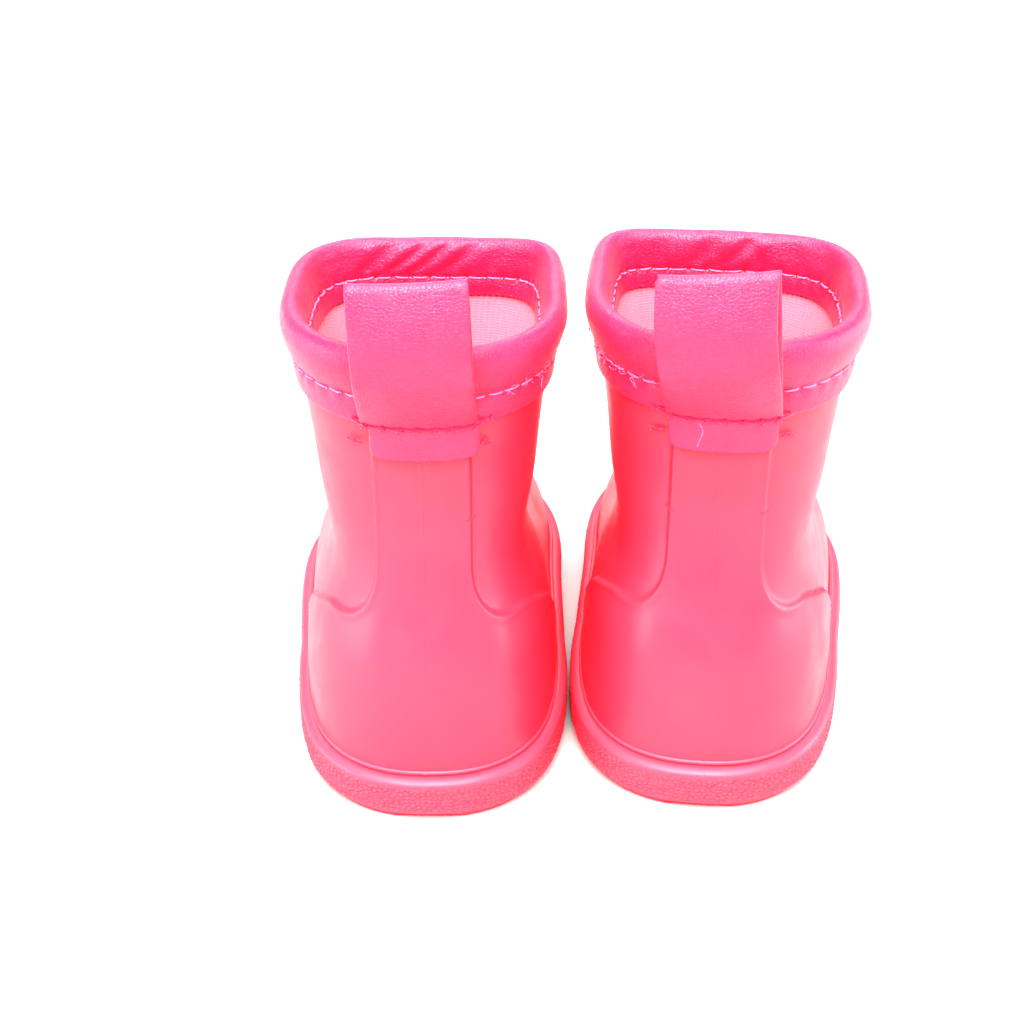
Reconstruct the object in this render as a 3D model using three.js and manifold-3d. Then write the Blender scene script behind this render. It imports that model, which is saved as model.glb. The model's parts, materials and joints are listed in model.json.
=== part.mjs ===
// A pair of toddler's rubber rain boots standing side by side, heels towards -Y and toes towards +Y.
// Millimetres, +Z up. The origin is the middle of the pair's footprint, on the floor.
import * as THREE from 'three';
import { mergeVertices } from 'three/addons/utils/BufferGeometryUtils.js';
import Module from 'manifold-3d';

const wasm = await Module();
wasm.setup();

// ---- Driving dimensions ------------------------------------------------------------------------
// A boot is drawn as a right boot in its own frame: X towards the outside of the foot, Y towards the
// toe, Z up, with the back of the heel near Y = 0. The left boot is its mirror image.
const FOOT_LENGTH = 152;
const SHELL_TOP = 135; // top edge of the moulded rubber shaft
const SOLE_TOP = 15.5; // top of the bead where the outsole meets the shell
const SOLE_MARGIN = 4; // how far the outsole stands out from the shell
const TREAD_HEIGHT = 2.2;
const TREAD_INSET = 2.2;
const TOE_SPRING = 4; // rise of the sole at the toe tip
const SPRING_START = 100; // the sole is flat on the floor behind this line
const RIM_DROP = 3.7; // the front of the top edge is this much lower than the back
const RIM_DROP_FROM = 103; // height where the shaft starts to follow the dropped rim
const WALL = 1.8; // moulded rubber
const LINING = 0.8; // knitted sock
const GAP = 0.3; // clearance between touching pieces
const INSOLE_THICKNESS = 3;
const INSOLE_PLAY = 1.5; // extra room beside the loose insole, so that it lifts out freely
const SHELL_FLOOR = 5; // underside of the shell, inside the outsole
const LEATHERETTE = 0.9; // sheet of the collar binding and the pull loop
const THREAD = 0.7;

// Shaft and heel, outer surface: height, rear, front, half width.
const SHAFT = [
  [5, -2.7, 66, 29.3],
  [22, -2.6, 72, 30.8],
  [43, -0.6, 77, 30.0],
  [63, 5.4, 80, 26.5],
  [87, 9.2, 76.7, 29.5],
  [111, 5.6, 76.6, 31.7],
  [135, 1.0, 77.1, 35.7],
];
// Foot, outer surface: distance from the heel, half width, height of the top, shift of the middle.
const FOOT = [
  [20, 30.5, 65.8, -1.3],
  [56, 35.4, 66.9, 0.4],
  [97, 36.6, 52.7, 2.0],
  [125, 35.4, 47.1, -0.4],
  [148, 32.4, 41, -2.8],
];
const FOOT_BASE = 7.5; // the foot's sides are upright below this height
const TOE_START = 102; // the toe rounds off in front of this line
const HEEL_END = 34; // and the heel behind this one
const HEEL_BULGE = 2.3; // how far the foot's heel reaches behind Y = 0
const ANKLE_BLEND = 12; // size of the soft hollow between shaft and foot
const FLOOR_BLEND = 8; // rounding along the shell's bottom edge

// The section of the shaft is a superellipse. Its corners get their own exponents at the top edge.
const ROUND = 2.26;
const CORNERS = { frontInner: 6, frontOuter: 3.7, rear: 2.25 };
const CORNERS_FROM = 80; // height where the corners start to differ

// The spine that the sections are taken from: down the shaft, round the instep, out to the toe.
const INSTEP = { y: 98, z: 86, reachTop: 58, reachBottom: 56 };
const SECTIONS = { shaft: 5, instep: 7, foot: 5 };
const COLUMNS = 24;

// Collar, as a section at right angles to the rim: outward distance from the shell, height.
const COLLAR = { middle: -1.45, centre: 136.6, halfWidth: 3, outerHem: 117.5, innerHem: 122 };
const OUTER_SEAM = 125.5;
const INNER_SEAM = 128;

// Pull loop, standing behind the collar.
const LOOP_WIDTH = 29.4;
const LOOP_SEAM = 119;
const LOOP_TOP = 161;
const FLAP_BOTTOM = 107.5;
const LOOP_STRIPS = 4; // across the width

// Where each boot stands: heel position, turn about Z in degrees, and how many degrees its loop leans.
const PLACES = {
  left: { x: -38.2, y: -78.3, turn: 0, loopLean: -2.6 },
  right: { x: 38.2, y: -73.1, turn: -4.6, loopLean: -4.9 },
};

// ---- Shape of the boot -------------------------------------------------------------------------
const clamp = THREE.MathUtils.clamp;
const vec = (x, y, z) => new THREE.Vector3(x, y, z);

// A smooth curve through the rows of a table that never overshoots between them.
function curve(rows, column) {
  const xs = rows.map((row) => row[0]);
  const ys = rows.map((row) => row[column]);
  const last = xs.length - 1;
  const slopes = xs.slice(1).map((x, i) => (ys[i + 1] - ys[i]) / (x - xs[i]));
  const tangent = (i) => {
    if (i === 0) return slopes[0];
    if (i === last) return slopes[last - 1];
    const [a, b] = [slopes[i - 1], slopes[i]];
    return a * b <= 0 ? 0 : (2 * a * b) / (a + b);
  };
  return (x) => {
    const c = clamp(x, xs[0], xs[last]);
    let i = 0;
    while (i < last - 1 && c > xs[i + 1]) i++;
    const step = xs[i + 1] - xs[i];
    const t = (c - xs[i]) / step;
    const start = ys[i] * (1 + 2 * t) * (1 - t) ** 2 + tangent(i) * step * t * (1 - t) ** 2;
    const end = ys[i + 1] * t * t * (3 - 2 * t) - tangent(i + 1) * step * t * t * (1 - t);
    return start + end;
  };
}

const shaft = { rear: curve(SHAFT, 1), front: curve(SHAFT, 2), half: curve(SHAFT, 3) };
const foot = { half: curve(FOOT, 1), top: curve(FOOT, 2), middle: curve(FOOT, 3) };

function smoothMin(a, b, width) {
  const h = clamp(0.5 + (0.5 * (a - b)) / width, 0, 1);
  return a * (1 - h) + b * h - width * h * (1 - h);
}

const toeSpring = (y) => TOE_SPRING * (Math.max(0, y - SPRING_START) / (FOOT_LENGTH - SPRING_START)) ** 2;

function cornerExponent(x, y, z) {
  const share = clamp((z - CORNERS_FROM) / (SHELL_TOP - CORNERS_FROM), 0, 1);
  const front = x < 0 ? CORNERS.frontInner : CORNERS.frontOuter;
  return ROUND + ((y > 0 ? front : CORNERS.rear) - ROUND) * share;
}

// Negative inside the boot's outer surface, positive outside, about one per millimetre.
function outside(x, y, z) {
  const half = shaft.half(z);
  const middle = (shaft.rear(z) + shaft.front(z)) / 2;
  const reach = (shaft.front(z) - shaft.rear(z)) / 2;
  const n = cornerExponent(x, y - middle, z);
  const leg = ((Math.abs(x / half) ** n + Math.abs((y - middle) / reach) ** n) ** (1 / n) - 1) * half;

  const width = foot.half(y);
  const height = foot.top(y) - FOOT_BASE;
  const toe = Math.max(0, (y - TOE_START) / (FOOT_LENGTH - TOE_START));
  const heel = Math.max(0, (HEEL_END - y) / (HEEL_END + HEEL_BULGE));
  const rise = Math.max(0, z - FOOT_BASE - toeSpring(y)) / height;
  const across = Math.abs((x - foot.middle(y)) / width);
  const round = (across ** 2.5 + toe ** 2.3 + heel ** 2.3 + rise ** 2.5) ** (1 / 2.4);
  const pillow = (round - 1) * Math.min(width, height);

  const body = smoothMin(pillow, leg, ANKLE_BLEND);
  return -smoothMin(-body, z - SHELL_FLOOR - toeSpring(y), FLOOR_BLEND);
}

// The point where a ray from inside the boot meets the outer surface.
function castRay(from, direction) {
  let [near, far] = [0, 150];
  for (let i = 0; i < 24; i++) {
    const middle = (near + far) / 2;
    const p = from.clone().addScaledVector(direction, middle);
    if (outside(p.x, p.y, p.z) < 0) near = middle;
    else far = middle;
  }
  return from.clone().addScaledVector(direction, near);
}

function outwardNormal(p) {
  const e = 0.05;
  return vec(
    outside(p.x + e, p.y, p.z) - outside(p.x - e, p.y, p.z),
    outside(p.x, p.y + e, p.z) - outside(p.x, p.y - e, p.z),
    outside(p.x, p.y, p.z + e) - outside(p.x, p.y, p.z - e),
  ).normalize();
}

// The top edge drops towards the front. This carries a point of the straight boot to the real one.
function dropRim(p) {
  const share = clamp((p.z - RIM_DROP_FROM) / (SHELL_TOP - RIM_DROP_FROM), 0, 1);
  const along = (p.y - shaft.rear(SHELL_TOP)) / (shaft.front(SHELL_TOP) - shaft.rear(SHELL_TOP));
  return vec(p.x, p.y, p.z - RIM_DROP * share * along);
}

// Rays of one section: its centre, and the direction in its plane that column 0 looks along.
function sections() {
  const list = [];
  for (let i = 0; i < SECTIONS.shaft; i++) {
    const z = SHELL_TOP + ((INSTEP.z - SHELL_TOP) * i) / (SECTIONS.shaft - 1);
    list.push({ centre: vec(0, (shaft.rear(z) + shaft.front(z)) / 2, z), ahead: vec(0, 1, 0) });
  }
  for (let i = 1; i <= SECTIONS.instep; i++) {
    const share = i / SECTIONS.instep;
    const angle = (share * Math.PI) / 2;
    const ahead = vec(0, Math.cos(angle), Math.sin(angle));
    const reach = INSTEP.reachTop + (INSTEP.reachBottom - INSTEP.reachTop) * share;
    list.push({ centre: vec(0, INSTEP.y, INSTEP.z).addScaledVector(ahead, -reach), ahead });
  }
  for (let i = 1; i <= SECTIONS.foot; i++) {
    const share = Math.sin((i / (SECTIONS.foot + 0.45)) * (Math.PI / 2));
    const y = INSTEP.y + (FOOT_LENGTH - INSTEP.y) * share;
    list.push({ centre: vec(foot.middle(y), y, FOOT_BASE + 7 + toeSpring(y)), ahead: vec(0, 0, 1) });
  }
  return list;
}

const angles = Array.from({ length: COLUMNS }, (_, j) => (2 * Math.PI * j) / COLUMNS);
const rayAt = (ahead, angle) => ahead.clone().multiplyScalar(Math.cos(angle)).setX(Math.sin(angle));

// Outer surface of the boot as rings from the top edge to the toe, closed by one point at the tip.
const spine = sections();
const outerRings = spine.map(({ centre, ahead }) => angles.map((a) => castRay(centre, rayAt(ahead, a))));
const tip = castRay(spine.at(-1).centre, vec(0, 1, 0));
const ringNormals = outerRings.map((ring, i) =>
  ring.map((p) => (i === 0 ? outwardNormal(p).setZ(0).normalize() : outwardNormal(p))),
);
const tipNormal = outwardNormal(tip);

// The same rings moved in by a depth, optionally starting lower than the shell's top edge.
function sockRings(depth, top = SHELL_TOP) {
  const rings = outerRings.map((ring, i) => ring.map((p, j) => p.clone().addScaledVector(ringNormals[i][j], -depth)));
  rings.push([tip.clone().addScaledVector(tipNormal, -depth)]);
  if (top < SHELL_TOP) rings[0] = angles.map((a) => shaftPoint(a, top, -depth));
  return rings;
}

// A point beside the shaft's surface at one height, a distance outward from it.
function shaftPoint(angle, z, distance) {
  const height = Math.min(z, SHELL_TOP);
  const centre = vec(0, (shaft.rear(height) + shaft.front(height)) / 2, height);
  const p = castRay(centre, rayAt(vec(0, 1, 0), angle));
  const normal = outwardNormal(p).setZ(0).normalize();
  return p.addScaledVector(normal, distance).setZ(z);
}

// ---- Mesh building -----------------------------------------------------------------------------
// Faces between two neighbouring rings, whose points start at a and b. A ring of one point is a tip.
function band(a, countA, b, countB) {
  const n = Math.max(countA, countB);
  const at = (start, count, j) => start + (count === 1 ? 0 : j % n);
  const faces = [];
  for (let j = 0; j < n; j++) {
    const [a0, a1] = [at(a, countA, j), at(a, countA, j + 1)];
    const [b0, b1] = [at(b, countB, j), at(b, countB, j + 1)];
    if (countA > 1) faces.push([a0, a1, b0]);
    if (countB > 1) faces.push([a1, b1, b0]);
  }
  return faces;
}

const flipped = (faces) => faces.map(([a, b, c]) => [a, c, b]);

// Closes a ring of points with strips that join its two sides.
function cap(start, count) {
  const faces = [];
  for (let [low, high] = [0, count - 1]; low + 1 < high; low++, high--) {
    faces.push([start + low, start + high, start + low + 1]);
    if (low + 1 < high - 1) faces.push([start + high, start + high - 1, start + low + 1]);
  }
  return faces;
}

// The skin over a row of rings, and where each ring's points start.
function skin(rings, offset = 0) {
  const starts = rings.map((_, i) => offset + rings.slice(0, i).reduce((sum, ring) => sum + ring.length, 0));
  const faces = rings.slice(1).flatMap((ring, i) => band(starts[i], rings[i].length, starts[i + 1], ring.length));
  return { starts, faces };
}

// A solid through rings: open rows get flat ends, and a closed row joins its last ring to its first.
function ringMesh(rings, { closed = false } = {}) {
  const { starts, faces } = skin(rings);
  const [first, last] = [rings[0].length, rings.at(-1).length];
  if (closed) faces.push(...band(starts.at(-1), last, starts[0], first));
  else faces.push(...cap(starts[0], first), ...flipped(cap(starts.at(-1), last)));
  return solid(rings.flat(), faces);
}

// A wall between an outer and an inner row of rings, joined round the opening at their first rings.
function wallMesh(outer, inner) {
  const outerSkin = skin(outer);
  const innerSkin = skin(inner, outer.flat().length);
  const rim = band(innerSkin.starts[0], inner[0].length, outerSkin.starts[0], outer[0].length);
  return solid([...outer.flat(), ...inner.flat()], [...outerSkin.faces, ...flipped(innerSkin.faces), ...rim]);
}

function solid(points, faces) {
  const volume = faces.reduce((sum, [a, b, c]) => sum + points[a].dot(points[b].clone().cross(points[c])), 0);
  const index = volume < 0 ? faces.flatMap(([a, b, c]) => [a, c, b]) : faces.flat();
  const geometry = new THREE.BufferGeometry().setFromPoints(points);
  geometry.setIndex(index);
  return geometry;
}

function toManifold(geometry) {
  const clean = geometry.clone();
  clean.deleteAttribute('normal');
  clean.deleteAttribute('uv');
  const merged = mergeVertices(clean, 1e-4);
  const vertProperties = new Float32Array(merged.attributes.position.array);
  const triVerts = new Uint32Array(merged.index.array);
  return new wasm.Manifold(new wasm.Mesh({ numProp: 3, vertProperties, triVerts }));
}

function fromManifold(manifold) {
  const mesh = manifold.getMesh();
  const geometry = new THREE.BufferGeometry();
  geometry.setAttribute('position', new THREE.BufferAttribute(mesh.vertProperties, 3));
  geometry.setIndex(new THREE.BufferAttribute(mesh.triVerts, 1));
  return geometry;
}

const cut = (body, ...tools) => fromManifold(tools.reduce((a, b) => a.subtract(toManifold(b)), toManifold(body)));
const common = (a, b) => fromManifold(toManifold(a).intersect(toManifold(b)));

const dropAll = (rings) => rings.map((ring) => ring.map(dropRim));

// ---- Moulded shell, lining and insole ----------------------------------------------------------
function upperShell() {
  return wallMesh(dropAll(sockRings(0)), dropAll(sockRings(WALL)));
}

const LINING_TOP = 131;

function liningSock() {
  const outer = sockRings(WALL + GAP, LINING_TOP);
  const inner = sockRings(WALL + GAP + LINING, LINING_TOP);
  return wallMesh(dropAll(outer), dropAll(inner));
}

// The plan outline of the boot at one height, moved outward by a margin, as a ring from the toe round.
function outline(z, margin) {
  const middle = vec(0, FOOT_LENGTH / 2, z);
  return angles.flatMap((a) => [a, a + Math.PI / COLUMNS]).map((a) => {
    const stretched = vec(Math.sin(a) * 0.45, Math.cos(a), 0).normalize();
    const p = castRay(middle, stretched);
    const normal = outwardNormal(p).setZ(0).normalize();
    return p.addScaledVector(normal, margin);
  });
}

// A flat-topped layer of the outline between two heights, following the toe spring.
function layer(shape, heights) {
  return ringMesh(heights.map(([z, margin]) => {
    const ring = outline(shape, margin);
    return ring.map((p) => vec(p.x, p.y, z + toeSpring(p.y)));
  }));
}

function insole() {
  const depth = WALL + GAP + LINING + GAP;
  const bottom = SHELL_FLOOR + depth;
  const side = -depth - INSOLE_PLAY;
  const slab = layer(SOLE_TOP, [[bottom, side], [bottom + INSOLE_THICKNESS, side]]);
  return common(slab, ringMesh(sockRings(depth)));
}

// ---- Outsole -----------------------------------------------------------------------------------
// Side of the outsole from the floor up: height, outward margin from the shell.
const SOLE_SIDE = [
  [0, SOLE_MARGIN - TREAD_INSET],
  [TREAD_HEIGHT, SOLE_MARGIN - TREAD_INSET],
  [TREAD_HEIGHT, SOLE_MARGIN - 0.4],
  [TREAD_HEIGHT + 0.9, SOLE_MARGIN],
  [11, SOLE_MARGIN - 0.5],
  [12.5, SOLE_MARGIN - 1.6],
  [13.1, 1.4],
  [SOLE_TOP, 1],
  [SOLE_TOP, -6],
];
const TREAD_GROOVES = [16, 30, 44, 86, 100, 114, 128, 142];
const GROOVE_WIDTH = 4;
const HEEL_BREAST = { from: 56, to: 72 }; // the hollow between heel and forefoot
const STANDING_AREA = [[20, -1], [24, 48], [31, 98]]; // half width and distance at its corners
const EDGE_RELIEF = 0.5; // how far the lugs' edges are off the floor

// What the lugs lose round the waisted area that they stand on.
function lugRelief() {
  const mirrored = STANDING_AREA.toReversed().map(([x, y]) => [-x, y]);
  const area = new THREE.Shape([...STANDING_AREA, ...mirrored].map(([x, y]) => new THREE.Vector2(x, y)));
  const stand = new THREE.ExtrudeGeometry(area, { depth: 4, bevelEnabled: false }).translate(0, 0, -2);
  const plate = new THREE.BoxGeometry(100, 200, 2).translate(0, 70, EDGE_RELIEF - 1);
  return cut(plate, stand);
}

function outsole() {
  const body = layer(SOLE_TOP, SOLE_SIDE);
  const bar = (from, to) => {
    const box = new THREE.BoxGeometry(90, to - from, 2 * TREAD_HEIGHT);
    return box.translate(0, (from + to) / 2, -0.2 + toeSpring((from + to) / 2));
  };
  const grooves = TREAD_GROOVES.map((y) => bar(y - GROOVE_WIDTH / 2, y + GROOVE_WIDTH / 2));
  return cut(body, ringMesh(sockRings(-GAP)), bar(HEEL_BREAST.from, HEEL_BREAST.to), lugRelief(), ...grooves);
}

// ---- Collar ------------------------------------------------------------------------------------
// A ring round the shaft from a section given as outward distance and height.
function collarRing(section) {
  const rings = angles.map((a) => section.map(([distance, z]) => dropRim(shaftPoint(a, z, distance))));
  return ringMesh(rings, { closed: true });
}

function arc(centreX, centreZ, radiusX, radiusZ, from, to, steps) {
  return Array.from({ length: steps + 1 }, (_, i) => {
    const a = THREE.MathUtils.degToRad(from + ((to - from) * i) / steps);
    return [centreX + radiusX * Math.cos(a), centreZ + radiusZ * Math.sin(a)];
  });
}

function collarCover() {
  const { middle, centre, halfWidth, outerHem, innerHem } = COLLAR;
  const bore = halfWidth - LEATHERETTE;
  const liningFace = -(WALL + GAP + LINING);
  return collarRing([
    [GAP + LEATHERETTE, outerHem],
    [GAP + LEATHERETTE, OUTER_SEAM],
    ...arc(middle, centre, halfWidth, halfWidth, -15, 195, 5),
    [liningFace - GAP - LEATHERETTE, INNER_SEAM],
    [liningFace - GAP - LEATHERETTE, innerHem],
    [liningFace - GAP, innerHem],
    [liningFace - GAP, INNER_SEAM],
    ...arc(middle, centre, bore, bore, 180, 0, 3),
    [GAP, OUTER_SEAM],
    [GAP, outerHem],
  ]);
}

function collarFoam() {
  const { middle, centre, halfWidth } = COLLAR;
  const radius = halfWidth - LEATHERETTE - GAP;
  return collarRing(arc(middle, SHELL_TOP + GAP, radius, centre - SHELL_TOP + radius - 2 * GAP, 0, 180, 5));
}

// A thread lies along its seam as one cord of square section.
function threadRing(height, distance) {
  const [low, high] = [height - THREAD / 2, height + THREAD / 2];
  const near = distance < 0 ? distance - THREAD : distance + THREAD;
  return collarRing([[distance, low], [near, low], [near, high], [distance, high]]);
}

// ---- Pull loop ---------------------------------------------------------------------------------
// The loop is drawn at the back of the shaft, as columns across its width.
const loopColumns = Array.from({ length: LOOP_STRIPS + 1 }, (_, i) => (i / LOOP_STRIPS - 0.5) * LOOP_WIDTH);

function shaftRear(x, z) {
  const height = Math.min(z, SHELL_TOP);
  const from = vec(x, (shaft.rear(height) + shaft.front(height)) / 2, height);
  return castRay(from, vec(0, -1, 0)).y;
}

// One point of the strap: across the width, distance behind the shaft, height, and how much of the
// shaft's curve the strap follows there.
function strapPoint(x, behind, z, crown) {
  const middle = shaftRear(0, z);
  return vec(x, middle + (shaftRear(x, z) - middle) * crown - behind, z);
}

// Stitched foot of the strap, below the seam: both layers of the loop and the hem flap.
function loopBase() {
  const rows = [[FLAP_BOTTOM, 2.2], [LOOP_SEAM - 2, 2.5], [LOOP_SEAM - GAP, 3.2]];
  return ringMesh(rows.map(([z, thickness]) => {
    const line = (behind) => loopColumns.map((x) => strapPoint(x, behind, z, 1));
    return [...line(thickness), ...line(LEATHERETTE + 2 * GAP).reverse()];
  }));
}

// The open loop is a closed band of strap round the finger gap. Path points: distance behind the
// shaft, height, and how much of the shaft's curve the strap still follows.
const LOOP_PATH = [
  [2.2, LOOP_SEAM + 0.6, 1],
  [3.6, 125, 1],
  [3.4, 137, 0.8],
  [3.3, 145, 0.6],
  [3.5, 153, 0.5],
  [4.6, 159, 0.5],
  [6.6, LOOP_TOP - LEATHERETTE / 2, 0.5],
  [8.8, 159, 0.5],
  [10.4, 153, 0.5],
  [10.9, 145, 0.6],
  [9.8, 136, 0.8],
  [6.9, 126, 1],
  [3.7, LOOP_SEAM + 0.6, 1],
];

function pullLoop(lean) {
  const path = LOOP_PATH.map(([behind, z]) => new THREE.Vector2(behind, z));
  const tilt = Math.tan(THREE.MathUtils.degToRad(lean));
  const rings = path.map((point, i) => {
    const along = path[(i + 1) % path.length].clone().sub(path.at(i - 1)).normalize();
    const half = new THREE.Vector2(-along.y, along.x).multiplyScalar(LEATHERETTE / 2);
    const line = (sign) => loopColumns.map((x) => {
      const [behind, z] = point.clone().addScaledVector(half, sign).toArray();
      const p = strapPoint(x, behind, z, LOOP_PATH[i][2]);
      const share = Math.min(1, (z - LOOP_SEAM) / 12);
      return p.add(vec(tilt * (z - LOOP_SEAM), 0, -tilt * x * share));
    });
    return [...line(1), ...line(-1).reverse()];
  });
  return ringMesh(rings, { closed: true });
}

// The thread across the strap, a little longer than the strap is wide.
function loopThread(z, gap, overhang) {
  const half = LOOP_WIDTH / 2 + overhang;
  const columns = Array.from({ length: 9 }, (_, i) => (i / 4 - 1) * half);
  return ringMesh(columns.map((x) => {
    const back = shaftRear(x, z) - gap;
    const [low, high] = [z - THREAD / 2, z + THREAD / 2];
    return [vec(x, back, low), vec(x, back - THREAD, low), vec(x, back - THREAD, high), vec(x, back, high)];
  }));
}

// ---- Assembly ----------------------------------------------------------------------------------
const finishes = {
  coral_rubber: { color: 0xf0506e, roughness: 0.6 },
  coral_sole: { color: 0xee5a76, roughness: 0.65 },
  pink_leatherette: { color: 0xe84a96, roughness: 0.5 },
  salmon_knit: { color: 0xf2949c, roughness: 0.95 },
  white_foam: { color: 0xf3ead8, roughness: 0.9 },
  pink_thread: { color: 0xf59ac0, roughness: 0.8 },
};

function piece(name, finish, geometry) {
  const material = new THREE.MeshStandardMaterial({ metalness: 0, ...finishes[finish] });
  const mesh = new THREE.Mesh(geometry, material);
  mesh.name = name;
  return mesh;
}

const shared = {
  outsole: ['coral_sole', outsole()],
  upper_shell: ['coral_rubber', upperShell()],
  lining: ['salmon_knit', liningSock()],
  insole: ['salmon_knit', insole()],
  collar_foam: ['white_foam', collarFoam()],
  collar_cover: ['pink_leatherette', collarCover()],
  collar_outer_seam: ['pink_thread', threadRing(OUTER_SEAM, LEATHERETTE + 2 * GAP)],
  collar_inner_seam: ['pink_thread', threadRing(INNER_SEAM, -(WALL + LINING + LEATHERETTE + 3 * GAP))],
  loop_base: ['pink_leatherette', loopBase()],
  loop_seam: ['pink_thread', loopThread(LOOP_SEAM - 1.2, 3.5, 0.8)],
};

function boot(side) {
  const { x, y, turn, loopLean } = PLACES[side];
  const group = new THREE.Group();
  for (const [name, [finish, geometry]] of Object.entries(shared)) {
    group.add(piece(`${side}_${name}`, finish, geometry));
  }
  const lean = side === 'left' ? -loopLean : loopLean;
  group.add(piece(`${side}_pull_loop`, 'pink_leatherette', pullLoop(lean)));
  group.position.set(x, y, 0);
  group.rotation.z = THREE.MathUtils.degToRad(turn);
  if (side === 'left') group.scale.x = -1;
  return group;
}

const pair = new THREE.Group();
pair.add(boot('left'), boot('right'));
const middle = new THREE.Box3().setFromObject(pair, true).getCenter(vec(0, 0, 0));
pair.position.set(-middle.x, -middle.y, 0);

export default pair;
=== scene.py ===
"""A pair of toddler's rubber rain boots, seen from behind and above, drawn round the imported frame.

Shapes are worked out in millimetres in a boot's own frame: X towards the outside of the foot, Y towards
the toe, Z up. place() carries them into the frame in metres, and mirrors them for the left boot.
"""

import json
import math

import bpy
import numpy as np
from mathutils import Matrix, Vector


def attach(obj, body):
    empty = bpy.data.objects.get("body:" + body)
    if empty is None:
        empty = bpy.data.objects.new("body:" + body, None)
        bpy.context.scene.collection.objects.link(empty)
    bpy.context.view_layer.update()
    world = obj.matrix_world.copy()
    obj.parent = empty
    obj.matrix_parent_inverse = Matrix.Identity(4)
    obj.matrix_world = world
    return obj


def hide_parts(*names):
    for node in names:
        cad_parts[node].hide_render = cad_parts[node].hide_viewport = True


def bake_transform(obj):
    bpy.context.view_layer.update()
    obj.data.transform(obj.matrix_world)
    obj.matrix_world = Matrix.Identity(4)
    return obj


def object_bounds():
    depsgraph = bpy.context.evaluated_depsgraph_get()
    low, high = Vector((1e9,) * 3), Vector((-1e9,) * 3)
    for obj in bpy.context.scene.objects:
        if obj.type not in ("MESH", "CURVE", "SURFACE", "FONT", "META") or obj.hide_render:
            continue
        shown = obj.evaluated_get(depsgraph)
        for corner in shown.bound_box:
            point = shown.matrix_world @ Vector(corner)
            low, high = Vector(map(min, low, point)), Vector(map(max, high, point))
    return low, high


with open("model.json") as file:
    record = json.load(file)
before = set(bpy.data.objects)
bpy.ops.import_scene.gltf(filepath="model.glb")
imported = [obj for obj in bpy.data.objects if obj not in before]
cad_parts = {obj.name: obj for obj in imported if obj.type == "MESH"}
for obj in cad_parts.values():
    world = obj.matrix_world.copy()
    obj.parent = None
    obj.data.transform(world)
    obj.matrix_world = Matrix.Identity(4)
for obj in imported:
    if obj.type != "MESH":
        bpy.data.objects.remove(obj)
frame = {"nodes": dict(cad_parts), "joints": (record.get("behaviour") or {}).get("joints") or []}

cad_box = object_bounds()

# ---- Driving dimensions, in millimetres ---------------------------------------------------------
FOOT_LENGTH = 152
SHELL_TOP = 135
SHELL_FLOOR = 5
SOLE_TOP = 15.5
SOLE_MARGIN = 4
TREAD_HEIGHT = 2.2
TREAD_INSET = 2.2
TOE_SPRING = 4
SPRING_START = 100
RIM_DROP = 3.7
RIM_DROP_FROM = 103
WALL = 1.8
LINING = 0.8
GAP = 0.3
LINING_TOP = 131
LOOP_WIDTH = 29.4
LOOP_SEAM = 119
LOOP_HINGE_Y = 1.08  # the loop's hinge line, in the boot's own frame
OUTER_SEAM = 125.5
INNER_SEAM = 128
THREAD = 0.7

# Shaft and heel: height, rear, front, half width. Foot: distance, half width, top, middle.
SHAFT = [
    (5, -2.7, 66, 29.3),
    (22, -2.6, 72, 30.8),
    (43, -0.6, 77, 30.0),
    (63, 5.4, 80, 26.5),
    (87, 9.2, 76.7, 29.5),
    (111, 5.6, 76.6, 31.7),
    (135, 1.0, 77.1, 35.7),
]
FOOT = [
    (20, 30.5, 65.8, -1.3),
    (56, 35.4, 66.9, 0.4),
    (97, 36.6, 52.7, 2.0),
    (125, 35.4, 47.1, -0.4),
    (148, 32.4, 41, -2.8),
]
FOOT_BASE = 7.5
TOE_START = 102
HEEL_END = 34
HEEL_BULGE = 2.3
ANKLE_BLEND = 12
FLOOR_BLEND = 8
ROUND = 2.26
CORNERS = {"front_inner": 6, "front_outer": 3.7, "rear": 2.25}
CORNERS_FROM = 80
INSTEP = {"y": 98, "z": 86, "reach_top": 58, "reach_bottom": 56}

LEAN = {"left": 2.6, "right": -4.9}  # how far each loop leans to its own outside, in degrees


# ---- Shape of the boot --------------------------------------------------------------------------
def curve(rows, column):
    """A smooth curve through a table's rows that never overshoots between them."""
    table = np.array(rows, float)
    xs, ys = table[:, 0], table[:, column]
    steps = np.diff(xs)
    slopes = np.diff(ys) / steps
    tangents = np.empty(len(xs))
    tangents[0], tangents[-1] = slopes[0], slopes[-1]
    before, after = slopes[:-1], slopes[1:]
    same = before * after > 0
    total = np.where(same, before + after, 1)
    tangents[1:-1] = np.where(same, 2 * before * after / total, 0)

    def at(x):
        c = np.clip(x, xs[0], xs[-1])
        i = np.clip(np.searchsorted(xs, c) - 1, 0, len(steps) - 1)
        t = (c - xs[i]) / steps[i]
        start = (ys[i] * (1 + 2 * t) + tangents[i] * steps[i] * t) * (1 - t) ** 2
        end = (ys[i + 1] * (3 - 2 * t) - tangents[i + 1] * steps[i] * (1 - t)) * t * t
        return start + end

    return at


shaft_rear, shaft_front, shaft_half = (curve(SHAFT, k) for k in (1, 2, 3))
foot_half, foot_top, foot_middle = (curve(FOOT, k) for k in (1, 2, 3))


def smooth_min(a, b, width):
    h = np.clip(0.5 + 0.5 * (a - b) / width, 0, 1)
    return a * (1 - h) + b * h - width * h * (1 - h)


def smooth_step(x, start, end):
    t = np.clip((x - start) / (end - start), 0, 1)
    return t * t * (3 - 2 * t)


def bump(x, width):
    return np.exp(-((x / width) ** 2))


def toe_spring(y):
    return TOE_SPRING * (np.maximum(0, y - SPRING_START) / (FOOT_LENGTH - SPRING_START)) ** 2


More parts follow.
